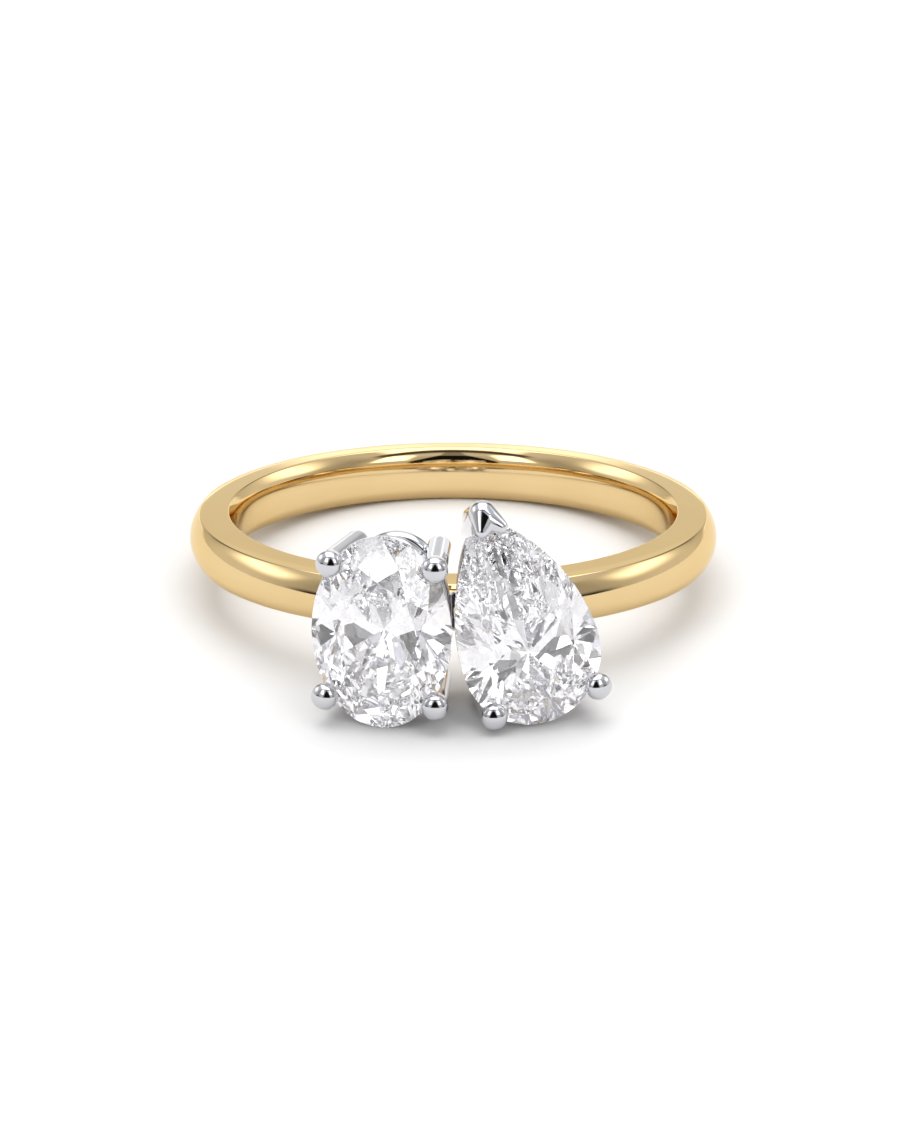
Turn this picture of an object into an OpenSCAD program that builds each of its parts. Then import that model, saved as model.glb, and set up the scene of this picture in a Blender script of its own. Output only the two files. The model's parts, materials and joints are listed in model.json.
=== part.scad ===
// Toi et moi ring: an oval and a pear-shaped brilliant on one gold band.
// Sizes are in millimetres. The ring lies on its side, as it rests by itself:
// the far side of the hoop and the low ends of both stones touch the ground.
// Each stone is built upright round its own centre: X across the stone, Y along the finger,
// Z out through the table. It is then turned to its place round the finger.

/* [Band] */
// Inside diameter, at the middle of the hoop
inside_d = 17.0; // [14:0.1:22]
// Thickness of the metal at the crown of the dome
band_t = 1.83; // [1.3:0.01:2.4]
// Width along the finger, at the inside edge
band_w = 2.17; // [1.8:0.01:3.2]
// Height of the dome above the edges of the side faces
dome_h = 0.43; // [0.2:0.01:0.7]
// How far each side face falls from the inside edge to the dome
side_fall = 0.11; // [0:0.01:0.2]
// Width of the straight strip in the middle of the inside wall
strip_w = 0.5; // [0.4:0.1:1]
// Radius of the rounded inside, on both sides of the straight strip
comfort_r = 1.6; // [1.2:0.1:3]

/* [Heads] */
// Height of the girdles above the crown of the band
girdle_h = 3.19; // [2.9:0.01:4]
// Diameter of the claw wire
claw_d = 0.97; // [0.8:0.01:1.1]
// Diameter of the ball at each claw tip
ball_d = 1.05; // [0.98:0.01:1.3]
// Height of the ball centres above the girdle
ball_h = 0.5; // [0.4:0.01:0.7]
// How far the claw centres stand outside the girdle line
claw_out = 0.14; // [0.05:0.01:0.25]
// How much a head narrows across the finger for each millimetre of depth
narrow_across = 0.075; // [0.04:0.005:0.09]
// How much a head narrows along the finger for each millimetre of depth
narrow_along = 0.015; // [0:0.005:0.04]
// Diameter of the rail wire
rail_d = 0.64; // [0.5:0.01:0.8]
// Depth of the upper rail below the girdle
upper_rail = 1.2; // [1.1:0.05:1.5]
// Depth of the base rail and of the claws' ends below the girdle
base_rail = 3.05; // [2.9:0.05:3.1]
// Width of the feet along the finger
foot_w = 1.5; // [1:0.1:1.8]
// Thickness of the feet
foot_t = 0.7; // [0.5:0.05:1]
// Seam between a foot and the band
foot_seam = 0.04; // [0.02:0.01:0.1]
// Clearance of the claws round the stone they hold
seat_gap = 0.04; // [0.02:0.01:0.1]
// Gap between the two heads where they meet
head_gap = 0.08; // [0.05:0.01:0.2]
// Gap between the two stones where they meet
stone_gap = 0.12; // [0.08:0.01:0.3]

/* [Oval stone] */
// Width across the finger
oval_w = 5.5; // [4.6:0.05:6.5]
// Length along the finger
oval_l = 7.66; // [6.4:0.05:9]
// Where the claws stand, measured from the width
oval_claw_at = 43.7; // [40:0.1:48]
// How much further in the tip of the upper left claw is bent over the stone
claw_bend = 0.2; // [0:0.01:0.25]
// How far the upper rail lies inside the girdle line
oval_upper_inset = 0.3; // [0.3:0.05:0.5]
// How far the base rail lies inside the girdle line
oval_base_inset = 0.65; // [0.65:0.05:0.9]

/* [Pear stone] */
// Width of the round end
pear_w = 5.48; // [4.6:0.05:6.5]
// Length of the round end, from the widest line down
pear_round_l = 2.8; // [2.4:0.05:3.4]
// Length of the pointed end, from the widest line up
pear_point_l = 6.0; // [4.8:0.05:7]
// Turn of the stone, with its point leaning towards the oval
pear_turn = 18.8; // [5:0.1:28]
// How far the centre lies below the middle of the band
pear_drop = 0.93; // [0.3:0.01:1.4]
// How far the upper rail lies inside the girdle line
pear_upper_inset = 0.3; // [0.3:0.05:0.5]
// How far the base rail lies inside the girdle line
pear_base_inset = 0.75; // [0.75:0.05:0.9]
// How far the claw over the point stands out beyond it
vee_out = 0.12; // [0.05:0.01:0.2]
// How far the claw over the point leans in, from its top to the base rail
vee_lean = 1.1; // [0.8:0.05:1.3]

/* [Cut of the stones] */
// Height of the crown above the girdle
crown_h = 0.8; // [0.6:0.01:1]
// Thickness of the girdle
girdle_t = 0.18; // [0.1:0.01:0.3]
// Depth of the pavilion below the girdle
pavilion_h = 2.3; // [2:0.01:2.6]
// Table width as a share of the girdle's
table_share = 0.58; // [0.5:0.01:0.66]
// How far the star facets reach down the crown
star_share = 0.29; // [0.26:0.01:0.34]
// How far the lower girdle facets reach towards the culet
lower_share = 0.77; // [0.7:0.01:0.84]

/* [Hidden] */
$fn = 72;
// Length of a tool that is sure to pass through everything it cuts
through = 40;

band_r = inside_d / 2;
outer_r = band_r + band_t;
edge_r = outer_r - dome_h;
half_w = band_w / 2;
// The dome is one arc through the crown and both edges of the side faces
edge_z = half_w - side_fall;
dome_r = (edge_z * edge_z + dome_h * dome_h) / (2 * dome_h);
girdle_r = outer_r + girdle_h;

// The oval's long and short half axes, and one claw in each of its four quarters
oval_a = oval_w / 2;
oval_b = oval_l / 2;
oval_claws = [oval_claw_at, 180 - oval_claw_at, 180 + oval_claw_at, -oval_claw_at];

// Each side of the point is one arc that leaves the round end square to its width
pear_a = pear_w / 2;
wing_r = (pear_a * pear_a + pear_point_l * pear_point_l) / (2 * pear_a);
wing_end = asin(pear_point_l / wing_r);
// Round claws of the pear: degrees either side of the middle of the round end
pear_claws = [-142.5, -46.5];

// The reach of each stone towards the other one sets how far its head turns round the finger
pear_reach = wing_r - (wing_r - pear_a) * cos(pear_turn);
function fan(reach) = atan(reach / girdle_r) + asin(stone_gap / 2 / norm([girdle_r, reach]));
oval_fan = fan(oval_a);
pear_fan = fan(pear_reach);

// A stone's outline: [point on the girdle, direction straight out of the stone there]
function oval_at(t) =
    let (n = [cos(t) / oval_a, sin(t) / oval_b])
    [[oval_a * cos(t), oval_b * sin(t)], n / norm(n)];
function round_at(t) =
    let (n = [cos(t) / pear_a, sin(t) / pear_round_l])
    [[pear_a * cos(t), pear_round_l * sin(t)], n / norm(n)];
function wing_at(share, side) =
    let (q = wing_end * share)
    [[side * (pear_a - wing_r + wing_r * cos(q)), wing_r * sin(q)], [side * cos(q), sin(q)]];

// Facets of the oval: eight mains, and the girdle points half way between them
oval_mains = [for (k = [0:7]) oval_at(45 * k)];
oval_halves = [for (k = [0:7]) oval_at(45 * k + 22.5)];

// Facets of the pear, from its right side round by the point
pear_mains = [
    wing_at(0, 1),
    wing_at(0.5, 1),
    [[0, pear_point_l], [0, 1]],
    wing_at(0.5, -1),
    wing_at(0, -1),
    round_at(-135),
    round_at(-90),
    round_at(-45)
];
pear_halves = [
    wing_at(0.25, 1),
    wing_at(0.78, 1),
    wing_at(0.78, -1),
    wing_at(0.25, -1),
    round_at(-157.5),
    round_at(-112.5),
    round_at(-67.5),
    round_at(-22.5)
];

// Turns a point in the plane
function turned(p, angle) = [p.x * cos(angle) - p.y * sin(angle), p.x * sin(angle) + p.y * cos(angle)];
// Where the lines along the girdle at two mains cross
function corner(m, n) =
    let (a = m[0] * m[1], b = n[0] * n[1], det = m[1].x * n[1].y - m[1].y * n[1].x)
    [(a * n[1].y - b * m[1].y) / det, (m[1].x * b - n[1].x * a) / det];
function level(p, z) = [p.x, p.y, z];
function flipped(face) = [for (i = [len(face) - 1:-1:0]) face[i]];

// Claw centres at the height of the girdle, across and along the finger
function claw_place(place) = place[0] + claw_out * place[1];
oval_claw_places = [for (t = oval_claws) claw_place(oval_at(t))];
pear_claw_places = [for (t = pear_claws) turned(claw_place(round_at(t)), pear_turn)];
// A claw's centre at a height above the girdle, which is below zero further down
function claw_point(p, h) = [p.x * (1 + narrow_across * h), p.y * (1 + narrow_along * h), h];

// How the ring rests. Each low place is [distance towards the viewer, height, radius].
// The far edge of the hoop and the lowest place in front carry the ring.
function low_place(p, turn_side, fan_angle, r) =
    [(girdle_r + p.z) * cos(fan_angle) + turn_side * p.x * sin(fan_angle), p.y, r];
pear_low = norm([pear_a * sin(pear_turn), pear_round_l * cos(pear_turn)]);
drop = [0, -pear_drop, 0];
balls = concat(
    [for (p = oval_claw_places) low_place(claw_point(p, ball_h), 1, oval_fan, ball_d / 2)],
    [for (p = pear_claw_places) low_place(claw_point(p, ball_h) + drop, -1, pear_fan, ball_d / 2)]
);
low_places = concat(
    [low_place([0, -oval_b, -girdle_t / 2], 1, oval_fan, 0)],
    [low_place([0, -pear_low, -girdle_t / 2] + drop, -1, pear_fan, 0)],
    balls
);
function lean_on(p) =
    let (run = p[0] + edge_r, fall = -edge_z - p[1])
    atan(fall / run) + asin(p[2] / norm([run, fall]));
tilt = max([for (p = low_places) lean_on(p)]);
lift = edge_r * sin(tilt) + edge_z * cos(tilt);
// The origin lies on the ground, under the middle of the ring's length
back_y = (outer_r - dome_r) * cos(tilt) + dome_r;
front_y = max([for (p = balls) p[0] * cos(tilt) - p[1] * sin(tilt) + p[2]]);
middle_y = (back_y - front_y) / 2;

// Radius of an oval rail's end arcs, as a share of the rail's half width
end_share = 0.75;
// Gap between two stretches of rail, which the solder fills
joint_gap = 0.02;
// Radius of the pear's rails where they bend behind the point
bend_r = 0.5;
// Half of the claw over the point, as balls that a skin is stretched over: at its top and at its foot.
// Each ball is [across, along from the corner, diameter].
vee_top = [[0, 0, 0.9], [0.33, -0.24, 0.9], [0.55, -0.7, 0.56]];
vee_foot = [[0, 0, 0.8], [0.37, -0.47, 0.56]];
// Height of the middle of the top balls above the girdle
vee_h = 0.36;
// Length of the feet, down into the room for the band
foot_l = 1.2;
// Where the base rails cross the middle of the band
oval_foot_x = oval_a - oval_base_inset - rail_d / 2;
pear_rail_r = wing_r - pear_base_inset - rail_d / 2;
function pear_foot_x(side) =
    let (c = turned([side * (pear_a - wing_r), 0], pear_turn) - [0, pear_drop])
    c.x + side * sqrt(pear_rail_r * pear_rail_r - c.y * c.y);
pear_foot_xs = [pear_foot_x(-1), pear_foot_x(1)];

// Lays the upright ring down on the ground
module at_rest() {
    translate([0, -middle_y, lift]) rotate([-tilt, 0, 0]) children();
}

// Takes what is built round a stone's centre to its place on the ring
module at_head(angle) {
    rotate([0, 0, angle]) translate([0, -girdle_r, 0]) rotate([90, 0, 0]) children();
}

// Turns and lowers what belongs to the pear
module at_pear() {
    translate([0, -pear_drop, 0]) rotate([0, 0, pear_turn]) children();
}

// The band's section: two nearly flat side faces between the comfort-fit inside and the dome.
// Their lines run on past the dome, which cuts them off at its own edge.
module band_section() {
    far_r = outer_r + dome_h;
    far_z = half_w - side_fall * (far_r - band_r) / (edge_r - band_r);
    intersection() {
        translate([outer_r - dome_r, 0]) circle(dome_r);
        polygon([[band_r, half_w], [far_r, far_z], [far_r, -far_z], [band_r, -half_w]]);
        union() {
            translate([band_r, -strip_w / 2]) square([band_t, strip_w]);
            translate([band_r + comfort_r, strip_w / 2]) circle(comfort_r);
            translate([band_r + comfort_r, -strip_w / 2]) circle(comfort_r);
        }
    }
}

module band() {
    color("gold") at_rest() rotate_extrude($fn = 180) band_section();
}

// A brilliant: table, 8 star, 8 bezel and 16 upper girdle facets above the girdle,
// 16 lower girdle and 8 main facets below it. The mains above lean towards one point
// over the stone and the mains below meet in the culet.
module brilliant(mains, halves) {
    peak = crown_h / (1 - table_share);
    n = len(mains);
    corners = [for (k = [0:n - 1]) corner(mains[k], mains[(k + 1) % n])];
    ring = [for (k = [0:2 * n - 1]) k % 2 == 0 ? mains[k / 2][0] : halves[(k - 1) / 2][0]];
    half_t = girdle_t / 2;
    points = concat(
        [for (m = mains) level(m[0] * table_share, half_t + crown_h)],
        [for (c = corners) level(c * (1 - star_share), half_t + star_share * peak)],
        [for (p = ring) level(p, half_t)],
        [for (p = ring) level(p, -half_t)],
        [for (c = corners) level(c * (1 - lower_share), -half_t - lower_share * pavilion_h)],
        [[0, 0, -half_t - pavilion_h]]
    );
    star = n;
    top = 2 * n;
    low = 4 * n;
    inner = 6 * n;
    culet = 7 * n;
    faces = concat(
        [[for (k = [0:n - 1]) k]],
        [for (k = [0:n - 1]) [k, star + k, (k + 1) % n]],
        [for (k = [0:n - 1]) [k, star + (k + n - 1) % n, top + 2 * k, star + k]],
        [for (k = [0:n - 1]) [top + 2 * k, top + 2 * k + 1, star + k]],
        [for (k = [0:n - 1]) [top + 2 * k + 1, top + (2 * k + 2) % (2 * n), star + k]],
        [for (k = [0:2 * n - 1]) [top + k, low + k, low + (k + 1) % (2 * n), top + (k + 1) % (2 * n)]],
        [for (k = [0:n - 1]) [low + 2 * k + 1, low + 2 * k, inner + k]],
        [for (k = [0:n - 1]) [low + (2 * k + 2) % (2 * n), low + 2 * k + 1, inner + k]],
        [for (k = [0:n - 1]) [low + 2 * k, inner + (k + n - 1) % n, culet, inner + k]]
    );
    polyhedron(points, [for (f = faces) flipped(f)]);
}

module oval_stone() {
    color("white") at_rest() at_head(-oval_fan) brilliant(oval_mains, oval_halves);
}

module pear_stone() {
    color("white") at_rest() at_head(pear_fan) at_pear() brilliant(pear_mains, pear_halves);
}

// Room for a stone in its claws
module seat(width) {
    scale(1 + 2 * seat_gap / width) children();
}

// One round claw: a wire with a rounded foot and a ball on its tip, which can be bent over to one side
module claw(place, bend = 0) {
    low = claw_point(place, -base_rail);
    high = claw_point(place, ball_h) + [bend, 0, 0];
    way = high - low;
    length = norm(way);
    translate(low) rotate([0, acos(way.z / length), atan2(way.y, way.x)]) rotate_extrude() {
        intersection() {
            translate([0, -claw_d]) square([ball_d, length + claw_d + ball_d]);
            union() {
                circle(d = claw_d);
                square([claw_d / 2, length]);
                translate([0, length]) circle(d = ball_d);
            }
        }
    }
}

// A stretch of rail: round wire bent round an arc, with a collar of solder over the joint at its start
module bent_wire(radius, start, angle) {
    short = asin(joint_gap / 2 / radius);
    rotate([0, 0, start + short]) rotate_extrude(angle = angle - 2 * short) {
        translate([radius, 0]) circle(d = rail_d, $fn = 24);
    }
    rotate([0, 0, start]) translate([radius, 0, 0]) rotate([90, 0, 0]) {
        cylinder(d = rail_d + 0.03, h = 0.1, center = true, $fn = 24);
    }
}

// A rail that follows the oval, in two end arcs and two side arcs that meet smoothly
module oval_rail(inset) {
    a = oval_a - inset - rail_d / 2;
    b = oval_b - inset - rail_d / 2;
    end_r = end_share * a;
    side_r = (a * a + b * b - 2 * b * end_r) / (2 * (a - end_r));
    turn = atan((b - end_r) / (side_r - a));
    for (half = [0, 180]) {
        rotate([0, 0, half]) {
            translate([a - side_r, 0, 0]) bent_wire(side_r, -turn, 2 * turn);
            translate([0, b - end_r, 0]) bent_wire(end_r, turn, 180 - 2 * turn);
        }
    }
}

// A rail that follows the pear: half a circle, an arc up each side and a tight bend behind the point
module pear_rail(inset) {
    step = inset + rail_d / 2;
    arc_r = wing_r - step;
    arc_x = wing_r - pear_a;
    bend_y = sqrt((arc_r - bend_r) * (arc_r - bend_r) - arc_x * arc_x);
    end = atan(bend_y / arc_x);
    bent_wire(pear_a - step, 180, 180);
    translate([-arc_x, 0, 0]) bent_wire(arc_r, 0, end);
    translate([0, bend_y, 0]) bent_wire(bend_r, end, 180 - 2 * end);
    translate([arc_x, 0, 0]) bent_wire(arc_r, 180 - end, end);
}

// The claw over the pear's point: a leaning wall that wraps round it, rounded all over
module vee_claw() {
    for (side = [-1, 1]) {
        hull() {
            translate([0, pear_point_l + vee_out, vee_h]) vee_row(vee_top, side);
            translate([0, pear_point_l + vee_out - vee_lean, -base_rail]) vee_row(vee_foot, side);
        }
    }
}
module vee_row(row, side) {
    for (ball = row) {
        translate([side * ball[0], ball[1], 0]) sphere(d = ball[2], $fn = 24);
    }
}

// The feet under a base rail, reaching into the room for the band
module feet(places) {
    for (x = places) {
        translate([x - foot_t / 2, -foot_w / 2, -base_rail - foot_l]) cube([foot_t, foot_w, foot_l]);
    }
}

// Cuts away the band with its seam, and what would reach past the middle plane.
// The side is -1 for the head on the left and 1 for the head on the right.
module fitted(side) {
    difference() {
        children();
        rotate_extrude($fn = 180) translate([outer_r - dome_r, 0]) circle(dome_r + foot_seam);
        translate([side > 0 ? head_gap / 2 - through : -head_gap / 2, -through, -through / 2]) {
            cube([through, through, through]);
        }
    }
}

module oval_head() {
    color("silver") at_rest() fitted(-1) at_head(-oval_fan) difference() {
        union() {
            for (i = [0:3]) claw(oval_claw_places[i], i == 1 ? claw_bend : 0);
            translate([0, 0, -upper_rail]) oval_rail(oval_upper_inset);
            translate([0, 0, -base_rail]) oval_rail(oval_base_inset);
            feet([-oval_foot_x, oval_foot_x]);
        }
        seat(oval_w) brilliant(oval_mains, oval_halves);
    }
}

module pear_head() {
    color("silver") at_rest() fitted(1) at_head(pear_fan) difference() {
        union() {
            translate(drop) for (p = pear_claw_places) claw(p);
            at_pear() {
                translate([0, 0, -upper_rail]) pear_rail(pear_upper_inset);
                translate([0, 0, -base_rail]) pear_rail(pear_base_inset);
                vee_claw();
            }
            feet(pear_foot_xs);
        }
        at_pear() seat(pear_w) brilliant(pear_mains, pear_halves);
    }
}

band();
oval_head();
oval_stone();
pear_head();
pear_stone();
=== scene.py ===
# %% [markdown]
# # A toi et moi ring, from a CAD frame to a finished picture
# The ring has five pieces: a yellow gold band, two white metal heads of claws and wire, and
# two stones, an oval and a pear. The CAD model gives their places and sizes. Here each piece
# is built again with a finer surface, because polished metal and cut stone show every flaw.

# %% Load the frame
import json
import math

import bmesh
import bpy
from mathutils import Matrix, Vector


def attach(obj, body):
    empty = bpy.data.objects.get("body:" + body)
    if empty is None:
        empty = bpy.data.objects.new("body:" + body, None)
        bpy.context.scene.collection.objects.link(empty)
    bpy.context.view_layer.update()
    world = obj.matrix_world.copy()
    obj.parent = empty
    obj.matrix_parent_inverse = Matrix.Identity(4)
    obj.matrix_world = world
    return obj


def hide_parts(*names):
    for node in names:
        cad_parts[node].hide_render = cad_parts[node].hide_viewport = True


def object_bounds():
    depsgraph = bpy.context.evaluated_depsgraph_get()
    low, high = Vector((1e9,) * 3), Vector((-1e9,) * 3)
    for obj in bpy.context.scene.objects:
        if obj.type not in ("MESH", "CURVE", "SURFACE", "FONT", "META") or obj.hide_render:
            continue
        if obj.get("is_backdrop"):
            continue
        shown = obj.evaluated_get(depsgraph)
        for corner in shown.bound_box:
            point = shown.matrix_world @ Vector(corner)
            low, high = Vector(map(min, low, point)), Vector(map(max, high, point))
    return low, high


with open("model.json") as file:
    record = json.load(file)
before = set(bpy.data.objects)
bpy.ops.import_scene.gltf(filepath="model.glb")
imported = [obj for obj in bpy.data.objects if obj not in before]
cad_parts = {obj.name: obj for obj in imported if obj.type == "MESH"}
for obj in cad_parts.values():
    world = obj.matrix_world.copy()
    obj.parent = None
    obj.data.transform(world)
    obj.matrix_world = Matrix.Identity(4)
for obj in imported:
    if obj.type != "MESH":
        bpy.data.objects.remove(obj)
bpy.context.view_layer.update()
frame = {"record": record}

# %% [markdown]
# ## How the ring lies
# The ring rests on its side, a little tipped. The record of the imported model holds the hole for
# the finger, with a point on its axis and the axis itself. Everything here is drawn in
# millimetres round an upright ring whose hole runs along Z, and one matrix lays it down.

# %% Lay the upright ring down
hole = frame["record"]["mounts"][0]
hole_axis = Vector(hole["axis"])
tilt = math.atan2(hole_axis.y, hole_axis.z)
to_rest = (
    Matrix.Translation(Vector(hole["pos_m"]))
    @ Matrix.Rotation(-tilt, 4, "X")
    @ Matrix.Scale(0.001, 4)
)
print("The ring leans", round(math.degrees(tilt), 2), "degrees from flat")

# %% [markdown]
# ## From points to an object
# Every piece ends up as one mesh. A small helper makes the object, lays it down with the ring,
# lets it ride on the CAD body and hides the CAD node that it stands for.


# %% Helpers that finish a piece
def new_object(name, vertices, faces):
    mesh = bpy.data.meshes.new(name)
    mesh.from_pydata([tuple(v) for v in vertices], [], faces)
    mesh.update()
    item = bpy.data.objects.new(name, mesh)
    bpy.context.scene.collection.objects.link(item)
    return item


def finish_piece(item, placing, node, material):
    item.data.transform(placing)
    item.data.materials.clear()
    item.data.materials.append(material)
    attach(item, "root")
    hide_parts(node)
    print(item.name, "has", len(item.data.polygons), "faces")


def shade(item, angle):
    """Smooth everywhere except over edges that bend more than the angle, in degrees."""
    mesh = item.data
    mesh.polygons.foreach_set("use_smooth", [True] * len(mesh.polygons))
    mesh.set_sharp_from_angle(angle=math.radians(angle))


# %% [markdown]
# ## The band's section
# The band is a low dome outside, two nearly flat side faces, and an inside that is rounded
# towards both edges so that it slides over a knuckle. Its section could be drawn as a curve and
# turned into a mesh. Here the points are worked out one by one, because then each edge can get
# its own small round: polished gold never has a truly sharp edge.

# %% Work out the section
hole_r = hole["dims"]["r_mm"]
band_t = 1.83
band_w = 2.17
dome_h = 0.43
side_fall = 0.11
outer_r = hole_r + band_t
half_w = band_w / 2
dome_edge_z = half_w - side_fall
dome_edge_r = outer_r - dome_h
dome_r = (dome_edge_z**2 + dome_h**2) / (2 * dome_h)
print("The dome is bent to a radius of", round(dome_r, 3), "mm")

# %% [markdown]
# The inside wall is nearly straight in the middle, turns over in a short bend, and runs out to
# the side face in a flatter one. Each stretch is an arc: its radius, and the lean where it ends.


# %% Bend the inside wall
inside_bends = ((3.2, 10.5), (0.62, 30), (2.0, 80))


def inside_point(lean):
    """The point of the inside wall where it leans outwards by this many degrees."""
    r, z, start = hole_r, 0.0, 0.0
    for radius, end in inside_bends:
        a, b = math.radians(start), math.radians(min(lean, end))
        r += radius * (math.cos(a) - math.cos(b))
        z += radius * (math.sin(b) - math.sin(a))
        start = end
        if lean <= end:
            break
    return r, z


# %% [markdown]
# The side face drops a little from the inside to the outside. Over its last third of a
# millimetre the polish has rolled it off, just before the dome begins.

# %% Roll off the side face
roll_off = 0.34
roll_r = 1.7


def side_z(r):
    """Height of the upper side face at a distance from the ring's axis."""
    past = max(0.0, r - (dome_edge_r - roll_off))
    drop = side_fall * (r - hole_r) / (dome_edge_r - hole_r)
    return half_w - drop - past**2 / (2 * roll_r)


def halve(low, high, too_low):
    """Closes in on the place where the test changes from true to false."""
    for _ in range(40):
        middle = (low + high) / 2
        low, high = (middle, high) if too_low(middle) else (low, middle)
    return low


def under_side(lean):
    r, z = inside_point(lean)
    return z < side_z(r)


def inside_dome(r):
    return math.hypot(r - outer_r + dome_r, side_z(r)) < dome_r


inside_lean = halve(0, 80, under_side)
inner_edge = inside_point(inside_lean)
crease_r = halve(dome_edge_r - 0.1, dome_edge_r + 0.1, inside_dome)
crease = (crease_r, side_z(crease_r))
print("Inner edge:", [round(v, 3) for v in inner_edge])
print("Outer crease:", [round(v, 3) for v in crease])

# %% [markdown]
# A corner of the section is rounded with a short curve that leaves one side and joins the
# other without a kink. Extra points beside each corner keep the shading beside it calm.


# %% Put the section together
inner_round = 0.05
crease_round = 0.045
edge_lead = 1.6


def rounded(before, corner, after, reach, steps=6):
    """Points of a small round at a corner between two directions."""
    a = Vector(before) - Vector(corner)
    b = Vector(after) - Vector(corner)
    start = Vector(corner) + a.normalized() * reach
    end = Vector(corner) + b.normalized() * reach
    out = []
    for i in range(steps + 1):
        t = i / steps
        out.append(start * (1 - t) ** 2 + Vector(corner) * 2 * t * (1 - t) + end * t**2)
    return out


def dome_point(angle):
    return outer_r - dome_r + dome_r * math.cos(angle), dome_r * math.sin(angle)


def side_point(r):
    return r, side_z(r)


def upper_half_of_section():
    """From the middle of the inside wall, over the upper side face, to the crown of the dome."""
    first, second = inside_bends[0][1], inside_bends[1][1]
    last = inside_lean - edge_lead
    points = [Vector(inside_point(first * i / 8)) for i in range(8)]
    points += [Vector(inside_point(first + (second - first) * i / 12)) for i in range(12)]
    points += [Vector(inside_point(second + (last - second) * i / 6)) for i in range(7)]
    points += rounded(inside_point(last), inner_edge, side_point(crease_r - 0.5), inner_round)
    steps = 16
    start = inner_edge[0] + 0.09
    end = crease_r - 0.07
    for i in range(steps + 1):
        points.append(Vector(side_point(start + (end - start) * i / steps)))
    lean = math.asin(crease[1] / dome_r)
    near = dome_point(lean - 0.03)
    points += rounded(side_point(crease_r - 0.04), crease, near, crease_round)
    for i in range(steps):
        points.append(Vector(dome_point((lean - 0.06) * (1 - i / steps))))
    points.append(Vector((outer_r, 0)))
    return points


upper = upper_half_of_section()
lower = [Vector((p.x, -p.y)) for p in reversed(upper[1:-1])]
section = upper + lower
print("The section has", len(section), "points")

# %% [markdown]
# ## The band
# Turning the section round the axis of the hole gives the hoop. A Screw modifier would do the
# same. Building the rings of points directly leaves no seam and no spare points.


# %% Turn the section into the hoop
def ring_faces(rings, sides, closed=True):
    """Faces between rings of points that follow each other."""
    faces = []
    for i in range(rings if closed else rings - 1):
        j = (i + 1) % rings
        for k in range(sides):
            m = (k + 1) % sides
            faces.append((i * sides + k, i * sides + m, j * sides + m, j * sides + k))
    return faces


def face_outwards(item):
    """Turns every face so that it looks out of the solid."""
    bm = bmesh.new()
    bm.from_mesh(item.data)
    bmesh.ops.recalc_face_normals(bm, faces=bm.faces)
    bm.to_mesh(item.data)
    bm.free()


turns = 288
band_points = []
for i in range(turns):
    a = 2 * math.pi * i / turns
    band_points += [(p.x * math.cos(a), p.x * math.sin(a), p.y) for p in section]
band = new_object("gold_band", band_points, ring_faces(turns, len(section)))
face_outwards(band)
shade(band, 60)
print("The hoop has", len(band.data.polygons), "faces")

# %% [markdown]
# ## Where the heads sit
# Each stone is drawn round its own centre: X across it, Y along the finger, Z out through its
# table. The two heads lean away from each other round the finger, like two fingers of a fan.

# %% Places of the heads
girdle_h = 3.19
girdle_r = outer_r + girdle_h
oval_fan = -11.746
pear_fan = 12.829
pear_turn = 18.8
pear_drop = 0.93


def head_place(angle):
    return (
        to_rest
        @ Matrix.Rotation(math.radians(angle), 4, "Z")
        @ Matrix.Translation((0, -girdle_r, 0))
        @ Matrix.Rotation(math.radians(90), 4, "X")
    )


oval_place = head_place(oval_fan)
pear_place = head_place(pear_fan)
pear_shift = (
    Matrix.Translation((0, -pear_drop, 0)) @ Matrix.Rotation(math.radians(pear_turn), 4, "Z")
)
print("Between the heads:", round(pear_fan - oval_fan, 1), "degrees round the finger")

# %% [markdown]
# ## The cut of the stones
# A cut stone is a rough crystal with flat facets ground into it one at a time. The same is done
# here: a block with the stone's outline is cut by one plane after another. The planes
# come from the points where the facets meet at the girdle, the belt round the widest line.

# %% The outlines of the stones
oval_a = 5.5 / 2
oval_b = 7.66 / 2
pear_a = 5.48 / 2
pear_round_l = 2.8
pear_point_l = 6.0
wing_r = (pear_a**2 + pear_point_l**2) / (2 * pear_a)
wing_end = math.asin(pear_point_l / wing_r)


def oval_at(degrees):
    """A point on the oval's girdle, and the direction straight out of the stone there."""
    t = math.radians(degrees)
    out = Vector((math.cos(t) / oval_a, math.sin(t) / oval_b)).normalized()
    return Vector((oval_a * math.cos(t), oval_b * math.sin(t))), out


def round_at(degrees):
    """The same on the round end of the pear."""
    t = math.radians(degrees)
    out = Vector((math.cos(t) / pear_a, math.sin(t) / pear_round_l)).normalized()
    return Vector((pear_a * math.cos(t), pear_round_l * math.sin(t))), out


def wing_at(share, side):
    """The same on one side of the pear's point: share 0 is the widest line and 1 the point."""
    q = wing_end * share
    out = Vector((side * math.cos(q), math.sin(q)))
    return Vector((side * (pear_a - wing_r + wing_r * math.cos(q)), wing_r * math.sin(q))), out


oval_outline = [oval_at(360 * i / 144)[0] for i in range(144)]
pear_outline = (
    [wing_at(i / 40, 1)[0] for i in range(40)]
    + [wing_at(1 - i / 40, -1)[0] for i in range(40)]
    + [round_at(180 + 180 * i / 64)[0] for i in range(64)]
)
oval_mains = [oval_at(45 * k) for k in range(8)]
oval_halves = [oval_at(45 * k + 22.5) for k in range(8)]
pear_mains = [
    wing_at(0, 1),
    wing_at(0.5, 1),
    (Vector((0, pear_point_l)), Vector((0, 1))),
    wing_at(0.5, -1),
    wing_at(0, -1),
    round_at(-135),
    round_at(-90),
    round_at(-45),
]
pear_halves = [
    wing_at(0.25, 1),
    wing_at(0.78, 1),
    wing_at(0.78, -1),
    wing_at(0.25, -1),
    round_at(-157.5),
    round_at(-112.5),
    round_at(-67.5),
    round_at(-22.5),
]
print("Outlines:", len(oval_outline), "and", len(pear_outline), "points")

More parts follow.
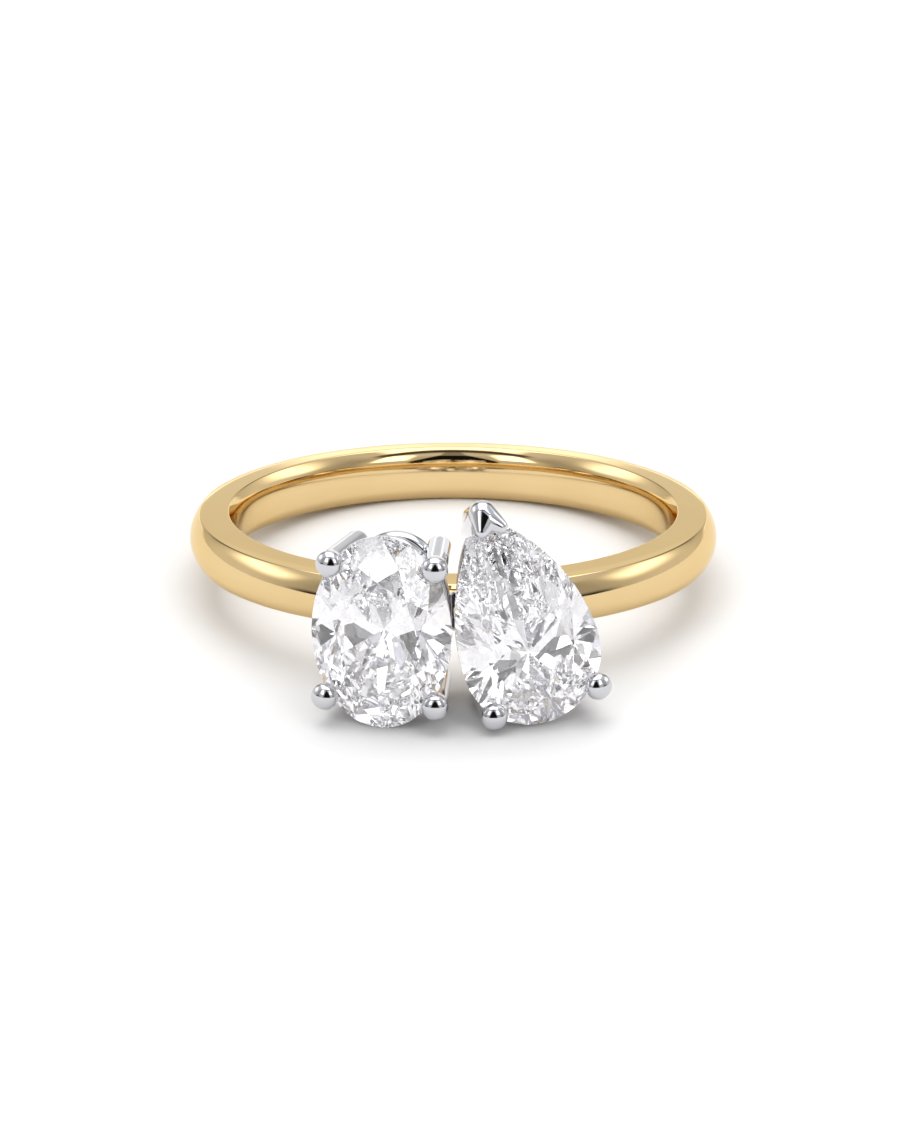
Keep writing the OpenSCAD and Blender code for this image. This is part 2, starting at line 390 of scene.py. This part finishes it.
# %% [markdown]
# A brilliant has 57 facets: the table, a ring of stars round it, the large crown mains, pairs of
# facets above and below the girdle, and the pavilion mains that meet at the culet. Every plane is
# given by three points that it must pass through, so neighbours always meet in a clean edge.

# %% The planes of the facets
crown_h = 0.8
girdle_t = 0.18
pavilion_h = 2.3
table_share = 0.58
star_share = 0.29
lower_share = 0.77


def crossing(m, n):
    """Where the lines along the girdle at two places cross."""
    a, b = m[0].dot(m[1]), n[0].dot(n[1])
    det = m[1].x * n[1].y - m[1].y * n[1].x
    return Vector(((a * n[1].y - b * m[1].y) / det, (m[1].x * b - n[1].x * a) / det))


def at(p, z):
    return Vector((p.x, p.y, z))


def facet_planes(mains, halves):
    """Each facet as three points of its plane."""
    half_t = girdle_t / 2
    peak = crown_h / (1 - table_share)
    corners = [crossing(mains[k], mains[(k + 1) % 8]) for k in range(8)]
    tables = [at(m[0] * table_share, half_t + crown_h) for m in mains]
    stars = [at(c * (1 - star_share), half_t + star_share * peak) for c in corners]
    lowers = [at(c * (1 - lower_share), -half_t - lower_share * pavilion_h) for c in corners]
    culet = Vector((0, 0, -half_t - pavilion_h))
    planes = [(tables[0], tables[2], tables[5])]
    for k in range(8):
        m, after = mains[k][0], mains[(k + 1) % 8][0]
        h = halves[k][0]
        planes += [
            (tables[k], tables[(k + 1) % 8], stars[k]),
            (at(m, half_t), stars[k], stars[k - 1]),
            (at(m, half_t), at(h, half_t), stars[k]),
            (at(h, half_t), at(after, half_t), stars[k]),
            (at(m, -half_t), at(h, -half_t), lowers[k]),
            (at(h, -half_t), at(after, -half_t), lowers[k]),
            (culet, lowers[k], lowers[k - 1]),
        ]
    return planes


oval_planes = facet_planes(oval_mains, oval_halves)
pear_planes = facet_planes(pear_mains, pear_halves)
print("Each stone has", len(oval_planes), "facets and its girdle")

# %% [markdown]
# Grinding is the same step 57 times: everything outside a plane goes, and the cut is closed with
# one flat face. That face is the facet. At the end no edge may be open, or light would leak.


# %% Grind the facets
def cut_stone(name, outline, planes):
    """A block with the stone's outline, cut by every plane."""
    bm = bmesh.new()
    top = [bm.verts.new((p.x, p.y, crown_h + 1)) for p in outline]
    low = [bm.verts.new((p.x, p.y, -pavilion_h - 1)) for p in outline]
    bm.faces.new(top)
    bm.faces.new(list(reversed(low)))
    for i in range(len(outline)):
        j = (i + 1) % len(outline)
        bm.faces.new((top[j], top[i], low[i], low[j]))
    for a, b, c in planes:
        normal = (b - a).cross(c - a).normalized()
        if normal.dot(a) < 0:
            normal.negate()
        everything = list(bm.verts) + list(bm.edges) + list(bm.faces)
        done = bmesh.ops.bisect_plane(
            bm, geom=everything, dist=1e-5, plane_co=a, plane_no=normal, clear_outer=True
        )
        rim = [e for e in done["geom_cut"] if isinstance(e, bmesh.types.BMEdge)]
        if len(rim) > 2:
            bmesh.ops.edgenet_fill(bm, edges=rim)
    bmesh.ops.recalc_face_normals(bm, faces=bm.faces)
    mesh = bpy.data.meshes.new(name)
    bm.to_mesh(mesh)
    open_edges = sum(1 for e in bm.edges if not e.is_manifold)
    bm.free()
    item = bpy.data.objects.new(name, mesh)
    bpy.context.scene.collection.objects.link(item)
    print(name, "open edges:", open_edges)
    return item


oval_brilliant = cut_stone("oval_brilliant", oval_outline, oval_planes)
pear_brilliant = cut_stone("pear_brilliant", pear_outline, pear_planes)

# %% [markdown]
# ## Claws and rails
# Both heads are bent and soldered from round wire. One helper sweeps a circle along a path and
# lets it grow and shrink on the way, which makes a plain rail and a claw with a ball alike.


# %% Sweep a round wire along a path
def wire(path, radii, closed=False, sides=40):
    """Points and faces of a round wire through the path's points."""
    n = len(path)
    tangents = []
    for i in range(n):
        ahead = path[(i + 1) % n] if closed or i < n - 1 else path[i]
        behind = path[i - 1] if closed or i > 0 else path[i]
        tangents.append((ahead - behind).normalized())
    across = tangents[0].orthogonal().normalized()
    points = []
    for i in range(n):
        across = (across - tangents[i] * across.dot(tangents[i])).normalized()
        other = tangents[i].cross(across)
        for k in range(sides):
            a = 2 * math.pi * k / sides
            points.append(path[i] + (across * math.cos(a) + other * math.sin(a)) * radii[i])
    faces = ring_faces(n, sides, closed)
    if not closed:
        faces.append(tuple(range(sides - 1, -1, -1)))
        faces.append(tuple(range((n - 1) * sides, n * sides)))
    return points, faces


# %% [markdown]
# A claw starts as a wire with a rounded foot. Its tip is pushed over the edge of the stone and
# polished into a ball. The radius along the claw is worked out from those three shapes.

# %% Shape of a claw
claw_d = 0.97
ball_d = 1.05
ball_h = 0.5
ball_flat = 0.72
claw_out = 0.14
narrow_across = 0.075
narrow_along = 0.015
base_rail = 3.05
upper_rail = 1.2
rail_d = 0.64
foot_steps = 12
foot_turn = 7.49
wire_steps = 12
ball_steps = 36
least_r = 1e-4


def claw_point(p, h):
    return Vector((p.x * (1 + narrow_across * h), p.y * (1 + narrow_along * h), h))


def claw_parts(place, bend):
    foot = claw_point(place, -base_rail)
    tip = claw_point(place, ball_h) + Vector((*bend, 0))
    way = (tip - foot).normalized()
    length = (tip - foot).length
    r, big = claw_d / 2, ball_d / 2
    path, radii = [], []
    for i in range(foot_steps + 1):
        a = math.radians(90 - foot_turn * i)
        path.append(foot - way * r * math.sin(a))
        radii.append(r * math.cos(a) + least_r)
    meet = math.acos(r / big)
    for i in range(1, wire_steps):
        path.append(foot + way * (length - big * math.sin(meet)) * i / wire_steps)
        radii.append(r)
    for i in range(ball_steps + 1):
        a = -meet + (math.pi / 2 + meet) * i / ball_steps
        flat = ball_flat if a > 0 else 1
        path.append(tip + way * big * flat * math.sin(a))
        radii.append(big * math.cos(a) + least_r)
    return wire(path, radii)


print("A claw reaches from", -base_rail, "to", ball_h, "mm at the middle of its ball")


# %% [markdown]
# The rails are closed loops that follow the outline of the stone, a little inside it. They are
# made of arcs that meet without a kink, as a jeweller bends them round a former.


# %% Paths of the rails
def arc(centre, radius, start, angle, steps):
    """Points of an arc, without its last one, which the next arc brings."""
    out = []
    for i in range(steps):
        a = math.radians(start + angle * i / steps)
        out.append(Vector((centre[0] + radius * math.cos(a), centre[1] + radius * math.sin(a))))
    return out


def rail(path, depth):
    """The wire along a flat loop, this far below the girdle."""
    path = [Vector((p.x, p.y, -depth)) for p in path]
    return wire(path, [rail_d / 2] * len(path), closed=True)


end_share = 0.75
bend_r = 0.5


def oval_rail(inset, depth):
    a = oval_a - inset - rail_d / 2
    b = oval_b - inset - rail_d / 2
    end_r = end_share * a
    side_r = (a * a + b * b - 2 * b * end_r) / (2 * (a - end_r))
    turn = math.degrees(math.atan((b - end_r) / (side_r - a)))
    half = arc((a - side_r, 0), side_r, -turn, 2 * turn, 30)
    half += arc((0, b - end_r), end_r, turn, 180 - 2 * turn, 30)
    path = half + [Vector((-p.x, -p.y)) for p in half]
    return rail(path, depth)


def pear_rail(inset, depth):
    step = inset + rail_d / 2
    arc_r, arc_x = wing_r - step, wing_r - pear_a
    bend_y = math.sqrt((arc_r - bend_r) ** 2 - arc_x**2)
    end = math.degrees(math.atan(bend_y / arc_x))
    path = arc((0, 0), pear_a - step, 180, 180, 44)
    path += arc((-arc_x, 0), arc_r, 0, end, 40)
    path += arc((0, bend_y), bend_r, end, 180 - 2 * end, 16)
    path += arc((arc_x, 0), arc_r, 180 - end, end, 40)
    return rail(path, depth)


# %% [markdown]
# The claw over the pear's point is a folded piece of sheet that wraps round the tip. It is built
# as the skin round a few balls, one set on each side, and the two skins overlap at the corner.


# %% Skin round balls
def points_and_faces(bm):
    """Takes the points and faces out of a bmesh and frees it."""
    bm.verts.ensure_lookup_table()
    bm.verts.index_update()
    points = [v.co.copy() for v in bm.verts]
    faces = [tuple(v.index for v in f.verts) for f in bm.faces]
    bm.free()
    return points, faces


def in_order(points, faces):
    """The same points and faces in an order that is the same in every run."""
    ranks = sorted(range(len(points)), key=lambda i: tuple(points[i]))
    place = {old: new for new, old in enumerate(ranks)}
    loops = []
    for face in faces:
        loop = [place[i] for i in face]
        first = loop.index(min(loop))
        loops.append(tuple(loop[first:] + loop[:first]))
    return [points[i] for i in ranks], sorted(loops)


def skin(balls, rings=24):
    """The convex skin round some balls, each [centre, diameter]."""
    bm = bmesh.new()
    for centre, size in balls:
        bmesh.ops.create_uvsphere(
            bm,
            u_segments=2 * rings,
            v_segments=rings,
            radius=size / 2,
            matrix=Matrix.Translation(centre),
        )
    hull = bmesh.ops.convex_hull(bm, input=list(bm.verts))
    left_over = hull["geom_interior"] + hull["geom_unused"]
    spare = [g for g in left_over if isinstance(g, bmesh.types.BMVert)]
    bmesh.ops.delete(bm, geom=list(dict.fromkeys(spare)), context="VERTS")
    bmesh.ops.dissolve_limit(bm, angle_limit=0.001, verts=bm.verts, edges=bm.edges)
    return in_order(*points_and_faces(bm))


# %% [markdown]
# Each arm needs four balls at the top: the back of the claw, the crest in front of it, the ridge
# that mirrors the dark front of the room, and the arm's pointed end. Their places are sideways,
# along the stone and upwards, and the last number is the ball's diameter. Two balls end the foot.

# %% The V claw
vee_h = 0.36
vee_out = 0.12
vee_lean = 1.1
vee_top = {
    -1: [
        (0, 0.03, -0.12, 1.1),
        (-0.095, -0.15, 0.04, 1.0),
        (0.305, -0.42, 0.38, 0.56),
        (0.34, -0.84, 0, 0.26),
    ],
    1: [
        (0, 0.03, -0.12, 1.1),
        (0.095, -0.15, 0.04, 1.0),
        (0.45, -0.53, 0.34, 0.56),
        (0.47, -0.8, 0, 0.32),
    ],
}
vee_foot = [(0, 0, 0.8), (0.37, -0.47, 0.56)]


def vee_parts(side):
    balls = []
    for x, y, z, d in vee_top[side]:
        balls.append((Vector((side * x, pear_point_l + vee_out + y, vee_h + z)), d))
    for x, y, d in vee_foot:
        balls.append((Vector((side * x, pear_point_l + vee_out - vee_lean + y, -base_rail)), d))
    return skin(balls)


print("V claw:", len(vee_top[1]) + len(vee_foot), "balls to an arm")


# %% [markdown]
# Two small feet under each base rail reach down to the band. They are cut to its curve.


# %% Feet
foot_w, foot_t, foot_l = 1.5, 0.7, 1.2
foot_round = 0.06


def foot_parts(x):
    bm = bmesh.new()
    size = Matrix.Diagonal((foot_t, foot_w, foot_l, 1))
    bmesh.ops.create_cube(
        bm, size=1, matrix=Matrix.Translation((x, 0, -base_rail - foot_l / 2)) @ size
    )
    bmesh.ops.bevel(
        bm, geom=list(bm.edges), offset=foot_round, segments=3, affect="EDGES", profile=0.5
    )
    return points_and_faces(bm)


print("A foot measures", foot_t, "by", foot_w, "mm where it stands on the band")


# %% [markdown]
# ## Soldering a head
# The wires of a head overlap where they are soldered. A Boolean union joins them into one skin,
# and two cuts then make room: one for the stone, as a setter cuts a seat with a bur, and one
# for the band.


# %% Join and cut
seat_gap = 0.04
band_gap = 0.04


def combine(item, other, operation):
    """Applies one Boolean step and throws the other object away."""
    step = item.modifiers.new("step", "BOOLEAN")
    step.object = other
    step.operation = operation
    step.solver = "EXACT"
    graph = bpy.context.evaluated_depsgraph_get()
    made = bpy.data.meshes.new_from_object(item.evaluated_get(graph))
    item.modifiers.clear()
    old = item.data
    item.data = made
    bpy.data.meshes.remove(old)
    bpy.data.objects.remove(other)


def solder(name, parts):
    head = new_object(name, *parts[0])
    for points, faces in parts[1:]:
        combine(head, new_object("part", points, faces), "UNION")
    return head


def seat_tool(stone, width, shift):
    """A copy of the stone, a hair larger, in the head's own frame."""
    tool = stone.copy()
    tool.data = stone.data.copy()
    tool.data.transform(shift @ Matrix.Scale(1 + 2 * seat_gap / width, 4))
    bpy.context.scene.collection.objects.link(tool)
    return tool


def band_tool(place):
    """The room that the band takes, with the seam, in the head's own frame."""
    r = dome_r + band_gap
    rings, sides = 180, 96
    points = []
    for i in range(rings):
        a = 2 * math.pi * i / rings
        for k in range(sides):
            q = 2 * math.pi * k / sides
            d = outer_r - dome_r + r * math.cos(q)
            points.append((d * math.cos(a), d * math.sin(a), r * math.sin(q)))
    tool = new_object("band_room", points, ring_faces(rings, sides))
    tool.data.transform(place.inverted() @ to_rest)
    face_outwards(tool)
    return tool


# %% [markdown]
# ## The oval's head
# Four claws stand at the corners of the oval, two rails tie them together and two feet stand on
# the band. Each claw is a round wire whose end was pressed down over the stone's edge into a small
# ball. Two of the balls were pressed further over than the others, so their tips get a bend of up
# to 0.2 mm. The seat is cut with the stone's own shape, as a setter cuts a notch with a bur.

# %% The oval's head
oval_claw_tips = (
    (43.7, (0, 0)),
    (136.3, (0.2, 0)),
    (223.7, (0.02, 0.16)),
    (-43.7, (0, 0)),
)
upper_inset = 0.3
oval_base_inset = 0.65
oval_claws = []
for degrees, bend in oval_claw_tips:
    p, out = oval_at(degrees)
    oval_claws.append(claw_parts(p + out * claw_out, bend))
oval_foot_x = oval_a - oval_base_inset - rail_d / 2
oval_parts = oval_claws + [
    oval_rail(upper_inset, upper_rail),
    oval_rail(oval_base_inset, base_rail),
    foot_parts(-oval_foot_x),
    foot_parts(oval_foot_x),
]
oval_head = solder("oval_claw_head", oval_parts)
combine(oval_head, seat_tool(oval_brilliant, 2 * oval_a, Matrix.Identity(4)), "DIFFERENCE")
combine(oval_head, band_tool(oval_place), "DIFFERENCE")
shade(oval_head, 40)
print("Oval's head:", len(oval_parts), "parts soldered,", len(oval_head.data.polygons), "faces")

# %% [markdown]
# ## The pear's head
# A pear is weakest at its point, so a V claw with two short arms covers it there. Two round claws
# hold the broad end, and their tips are bent over too. The whole head is turned with the stone,
# and the feet stay upright, because they stand on the band.

# %% The pear's head
def turned(points):
    return [pear_shift @ Vector(p) for p in points]


pear_claw_tips = (
    (-142.5, (0.08, 0.2)),
    (-46.5, (-0.1, 0.08)),
)
pear_base_inset = 0.75
pear_feet_x = (-1.907, 1.434)
pear_parts = []
a = math.radians(pear_turn)
for degrees, bend in pear_claw_tips:
    p, out = round_at(degrees)
    p += out * claw_out
    spot = Vector((p.x * math.cos(a) - p.y * math.sin(a), p.x * math.sin(a) + p.y * math.cos(a)))
    points, faces = claw_parts(spot, bend)
    pear_parts.append(([p + Vector((0, -pear_drop, 0)) for p in points], faces))
for points, faces in [
    pear_rail(upper_inset, upper_rail),
    pear_rail(pear_base_inset, base_rail),
    vee_parts(-1),
    vee_parts(1),
]:
    pear_parts.append((turned(points), faces))
pear_parts += [foot_parts(x) for x in pear_feet_x]
pear_head = solder("pear_claw_head", pear_parts)
combine(pear_head, seat_tool(pear_brilliant, 2 * pear_a, pear_shift), "DIFFERENCE")
combine(pear_head, band_tool(pear_place), "DIFFERENCE")
shade(pear_head, 40)
print("Pear's head:", len(pear_parts), "parts soldered,", len(pear_head.data.polygons), "faces")


# %% [markdown]
# ## Finishes
# Every finish is a small graph of nodes. The first helper starts a material. The second one
# gives a slow or a fine change over the piece, which keeps a polished surface from looking like
# plastic: even a good polish leaves faint waves, and traces of the buffing wheel.


# %% Helpers for finishes
def new_finish(name, **sockets):
    """A material with one shader; the sockets that are the same all over are set here."""
    finish = bpy.data.materials.new(name)
    finish.use_nodes = True
    tree = finish.node_tree
    shader = tree.nodes["Principled BSDF"]
    for socket, value in sockets.items():
        shader.inputs[socket.replace("_", " ")].default_value = value
    return finish, tree, shader


def cloudy(tree, size, detail, low, high):
    """A number that drifts between low and high over clouds of the given size in metres."""
    place = tree.nodes.new("ShaderNodeTexCoord")
    clouds = tree.nodes.new("ShaderNodeTexNoise")
    clouds.inputs["Scale"].default_value = 1 / size
    clouds.inputs["Detail"].default_value = detail
    tree.links.new(place.outputs["Object"], clouds.inputs["Vector"])
    spread = tree.nodes.new("ShaderNodeMapRange")
    spread.inputs["From Min"].default_value = 0.3
    spread.inputs["From Max"].default_value = 0.7
    spread.inputs["To Min"].default_value = low
    spread.inputs["To Max"].default_value = high
    tree.links.new(clouds.outputs["Fac"], spread.inputs["Value"])
    return spread.outputs["Result"]


def between_colours(tree, factor, one, other):
    mix = tree.nodes.new("ShaderNodeMix")
    mix.data_type = "RGBA"
    mix.inputs["A"].default_value = (*one, 1)
    mix.inputs["B"].default_value = (*other, 1)
    tree.links.new(factor, mix.inputs["Factor"])
    return mix.outputs["Result"]


def polish_waves(tree, shader, size, depth):
    """The faint unevenness that a buffing wheel leaves."""
    bump = tree.nodes.new("ShaderNodeBump")
    bump.inputs["Strength"].default_value = 1
    bump.inputs["Distance"].default_value = depth
    tree.links.new(cloudy(tree, size, 2, 0, 1), bump.inputs["Height"])
    tree.links.new(bump.outputs["Normal"], shader.inputs["Normal"])


# %% [markdown]
# Yellow gold is a bare metal: its colour is the colour of its reflections. Two close yellows
# drift over the band, and the roughness drifts with them. The tint for grazing light is set as
# well, because gold stays warm at its rims, where most metals turn white.

# %% Polished yellow gold
yellow_gold, tree, shader = new_finish(
    "polished_yellow_gold", Metallic=1, Specular_Tint=(0.98, 0.9, 0.72, 1)
)
drift = cloudy(tree, 0.004, 2, 0, 1)
tree.links.new(
    between_colours(tree, drift, (0.765, 0.568, 0.296), (0.735, 0.542, 0.274)),
    shader.inputs["Base Color"],
)
tree.links.new(cloudy(tree, 0.0012, 4, 0.045, 0.075), shader.inputs["Roughness"])
polish_waves(tree, shader, 0.0016, 0.0000006)
print("Gold finish:", len(tree.nodes), "nodes")

# %% [markdown]
# The heads are white metal, harder than gold and a little greyer. Their finish is built in the
# same way. They are small, so their clouds are small too.

# %% Polished white metal
white_metal, tree, shader = new_finish("polished_white_metal", Metallic=1)
drift = cloudy(tree, 0.0015, 2, 0, 1)
tree.links.new(
    between_colours(tree, drift, (0.63, 0.63, 0.65), (0.58, 0.585, 0.61)),
    shader.inputs["Base Color"],
)
tree.links.new(cloudy(tree, 0.0006, 4, 0.04, 0.09), shader.inputs["Roughness"])
polish_waves(tree, shader, 0.0007, 0.0000004)
print("White metal finish:", len(tree.nodes), "nodes")

# %% [markdown]
# The stones are clear all through. Light bends strongly as it enters, 2.42 times as much as in
# air, and is thrown back by the facets below. All that sparkle comes from the shape and from
# this one number. A trace of colour drifts through the stone, as it does in a real crystal.

# %% Clear stone
clear_stone, tree, shader = new_finish(
    "clear_stone", Transmission_Weight=1, IOR=2.417, Roughness=0
)
drift = cloudy(tree, 0.003, 1, 0, 1)
tree.links.new(
    between_colours(tree, drift, (0.93, 0.92, 0.96), (0.9, 0.89, 0.9)),
    shader.inputs["Base Color"],
)
print("Stone finish:", len(tree.nodes), "nodes")

# %% [markdown]
# ## Finish the pieces
# Each piece is laid down with the ring, gets its finish and takes the place of its CAD node.

# %% Finish the pieces
finish_piece(band, to_rest, "band", yellow_gold)
finish_piece(oval_head, oval_place, "oval_head", white_metal)
finish_piece(pear_head, pear_place, "pear_head", white_metal)
finish_piece(oval_brilliant, oval_place, "oval_stone", clear_stone)
finish_piece(pear_brilliant, pear_place @ pear_shift, "pear_stone", clear_stone)

# %% [markdown]
# ## Floor
# The ring was photographed on a sheet of white paper. The sheet is one large flat face, marked as
# stage, so it isn't part of the object. Its fibres show as a trace of colour.

# %% Lay the paper
sheet = 8
corners = [(x * sheet, y * sheet, 0) for x, y in ((-1, -1), (1, -1), (1, 1), (-1, 1))]
floor = new_object("paper", corners, [(0, 1, 2, 3)])
floor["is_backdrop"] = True
paper, tree, shader = new_finish("white_paper", Roughness=0.85)
shader.inputs["Specular IOR Level"].default_value = 0.2
fibres = cloudy(tree, 0.003, 6, 0, 1)
tree.links.new(
    between_colours(tree, fibres, (0.845, 0.843, 0.838), (0.825, 0.824, 0.822)),
    shader.inputs["Base Color"],
)
floor.data.materials.append(paper)
print("Paper:", 2 * sheet, "metres wide")

# %% [markdown]
# ## Light
# Polished metal has hardly any colour pattern of its own: it shows the room. So most of the work
# goes into the room. It is drawn on the world with nodes, as soft cards of light and shade that
# are placed by direction. A direction is given by four angles: how far it turns aside from the
# front, how far it rises, and how far an almost vertical one leans ahead or across.

# %% Start the world
world = bpy.data.worlds.new("studio")
bpy.context.scene.world = world
world.use_nodes = True
sky = world.node_tree
sky.nodes.clear()


def node(kind, **values):
    made = sky.nodes.new(kind)
    for key, value in values.items():
        setattr(made, key, value)
    return made


def maths(operation, *inputs):
    """A Math node; each input is a number or a socket."""
    made = node("ShaderNodeMath", operation=operation)
    for socket, value in zip(made.inputs, inputs):
        if isinstance(value, (int, float)):
            socket.default_value = value
        else:
            sky.links.new(value, socket)
    return made.outputs[0]


# %% Turn a direction into angles
where = node("ShaderNodeTexCoord").outputs["Generated"]
axes = node("ShaderNodeSeparateXYZ")
sky.links.new(where, axes.inputs[0])
x, y, z = axes.outputs
degree = 180 / math.pi
front = maths("MULTIPLY", y, -1.0)
aside = maths("MULTIPLY", maths("ARCTAN2", maths("ABSOLUTE", x), front), degree)
rise = maths("MULTIPLY", maths("ARCSINE", z), degree)
ahead = maths("MULTIPLY", maths("ARCTAN2", y, z), degree)
across = maths("MULTIPLY", maths("ARCTAN2", x, z), degree)
print("Nodes that find the direction:", len(sky.nodes))

# %% [markdown]
# A card is a mask and a colour. The mask is 1 on the card and 0 beside it. Its edge is soft,
# because a real soft box has no sharp edge either, and a sharp one looks drawn on the metal.


# %% Masks and cards
def step_at(socket, low, high, start, end):
    """Goes from one value to the other while the socket goes from low to high."""
    step = node("ShaderNodeMapRange", interpolation_type="SMOOTHSTEP", clamp=True)
    sky.links.new(socket, step.inputs["Value"])
    step.inputs["From Min"].default_value = low
    step.inputs["From Max"].default_value = high
    step.inputs["To Min"].default_value = start
    step.inputs["To Max"].default_value = end
    return step.outputs[0]


def between(socket, low, high, soft):
    """1 between low and high, 0 outside."""
    inside = step_at(socket, low - soft, low + soft, 0, 1)
    return maths("MULTIPLY", inside, step_at(socket, high - soft, high + soft, 1, 0))


def patch(level, mask_a, mask_b, colour):
    """Lays a light or a dark card over what is there already."""
    mix = node("ShaderNodeMix", data_type="RGBA")
    sky.links.new(maths("MULTIPLY", mask_a, mask_b), mix.inputs["Factor"])
    sky.links.new(level, mix.inputs[6])
    mix.inputs[7].default_value = (*colour, 1)
    return mix.outputs[2]


def grey(level):
    return (level, level, level)


# %% [markdown]
# The walls of the room are white paper at different distances, so they are brighter to the sides
# and at the back than in front. A colour ramp around the room holds their brightness.

# %% Walls
walls = [
    (0, 0.46),
    (24, 0.66),
    (48, 0.66),
    (57, 0.45),
    (67, 0.46),
    (76, 0.6),
    (88, 0.74),
    (102, 0.84),
    (128, 0.84),
    (150, 0.62),
    (168, 0.88),
]
ramp = node("ShaderNodeValToRGB")
sky.links.new(maths("DIVIDE", aside, 180.0), ramp.inputs[0])
ramp.color_ramp.elements[0].position = 0
ramp.color_ramp.elements[1].position = walls[1][0] / 180
for angle, level in walls[2:]:
    ramp.color_ramp.elements.new(angle / 180)
for element, (angle, level) in zip(ramp.color_ramp.elements, walls):
    element.color = (level, level, level, 1)
light = ramp.outputs[0]
ceiling = (0.76, 0.77, 0.84)
light = patch(light, between(rise, 45, 200, 6), between(aside, -10, 200, 1), ceiling)
print("Walls:", len(walls), "levels, and a bluish ceiling above 45 degrees")

# %% [markdown]
# The band mirrors five cards on each side. Its side face shows the pale wall behind the ring and a
# darker strip beside it. A window to the side and one in front give the long highlights on the
# dome, and a low dark card gives the fold under them. Each row says how far the card rises and how
# far it turns aside, both with the softness of the edge, and how bright it is.

# %% Cards for the band
band_cards = [
    ((19, 60, 5), (155, 200, 5), 1.0),
    ((14, 40, 8), (138, 158, 6), 0.2),
    ((20, 36, 9), (86, 123, 10), 2.5),
    ((20, 50, 2.5), (26, 46, 3), 3.0),
    ((-20, 7, 5), (51, 72, 8), 0.03),
]
for rises, turns_aside, level in band_cards:
    light = patch(light, between(rise, *rises), between(aside, *turns_aside), grey(level))
print("Cards for the band:", len(band_cards))

# %% [markdown]
# Every ball of a claw shows a small black shape in its middle. That is the dark front of the room
# around the camera. It is wide below and narrow above, so its half width shrinks as it rises.

# %% The dark card around the camera
foot_width = 27.0
slope = 0.36
top = 47
half_width = maths("SUBTRACT", foot_width, maths("MULTIPLY", rise, slope))
dark = step_at(maths("DIVIDE", aside, half_width), 0.94, 1.06, 1, 0)
light = patch(light, between(rise, 1, 58, 2), dark, grey(0.3))
light = patch(light, between(rise, 1, top, 3), dark, grey(0.008))
print("Half width of the dark card:", foot_width, "to", round(foot_width - slope * top), "degrees")

# %% [markdown]
# The main light is a soft box overhead. It casts the soft shadow round the ring and whitens the
# paper. A thin dark frame in front of it draws the black line along the back of the band, and a
# low light behind the ring brightens the inside wall.

# %% The light overhead
light = patch(light, between(rise, -90, 2.5, 1), between(aside, 150, 200, 12), grey(1.7))
light = patch(light, between(ahead, -30, 38, 4), between(across, -28, 28, 4), grey(2.55))
light = patch(light, between(ahead, -33, -26, 1.5), between(across, -36, 36, 4), grey(0.06))
background = node("ShaderNodeBackground")
sky.links.new(light, background.inputs["Color"])
background.inputs["Strength"].default_value = 1.0
sky.links.new(background.outputs[0], node("ShaderNodeOutputWorld").inputs["Surface"])
print("World:", len(sky.nodes), "nodes")

# %% [markdown]
# ## Camera
# The photograph was taken from 16.4 degrees above the plane through the upright ring's hole, from
# so far away that near and far parts have the same scale. The camera therefore stands 0.7 m away
# with a long lens. It is placed in the upright ring's frame and carried along when the ring is
# laid down.

# %% Place the camera
view_rise = math.radians(16.43)
distance = 700
px_per_mm = 25.49
picture_h = 1125
film_h = 36
aim = Vector((-0.126, 0, -1.118))
camera = bpy.data.objects.new("camera", bpy.data.cameras.new("camera"))
bpy.context.scene.collection.objects.link(camera)
bpy.context.scene.camera = camera
camera.data.sensor_fit = "VERTICAL"
camera.data.sensor_height = film_h
camera.data.lens = film_h * px_per_mm * distance / picture_h
back = Vector((0, -math.cos(view_rise), math.sin(view_rise)))
eye = to_rest @ (aim + back * distance)
target = to_rest @ aim
camera.location = eye
camera.rotation_mode = "QUATERNION"
camera.rotation_quaternion = (target - eye).to_track_quat("-Z", "Y")
camera.data.clip_start = 0.01
camera.data.clip_end = 10
print("The camera is", round((target - eye).length, 2), "metres away")
print("Its lens is", round(camera.data.lens), "mm long")

# %% [markdown]
# Light bounces many times inside a cut stone before it comes out again. With the usual few bounces
# its middle would turn black, so the limits are raised. The standard view keeps white paper white.

# %% Let light bounce in the stones
bpy.context.scene.view_settings.view_transform = "Standard"
bpy.context.scene.cycles.max_bounces = 64
bpy.context.scene.cycles.transmission_bounces = 32
bpy.context.scene.cycles.glossy_bounces = 48
print("Bounces:", bpy.context.scene.cycles.max_bounces)

# %% [markdown]
# ## Size
# The pieces drawn here may hardly be larger than the part they dress. The box of the finished
# pieces is measured now and printed in millimetres.

# %% Measure the finished pieces
finished_box = [list(corner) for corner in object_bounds()]
for name, low, high in zip("XYZ", *finished_box):
    print(name, "from", round(1000 * low, 2), "to", round(1000 * high, 2), "mm")
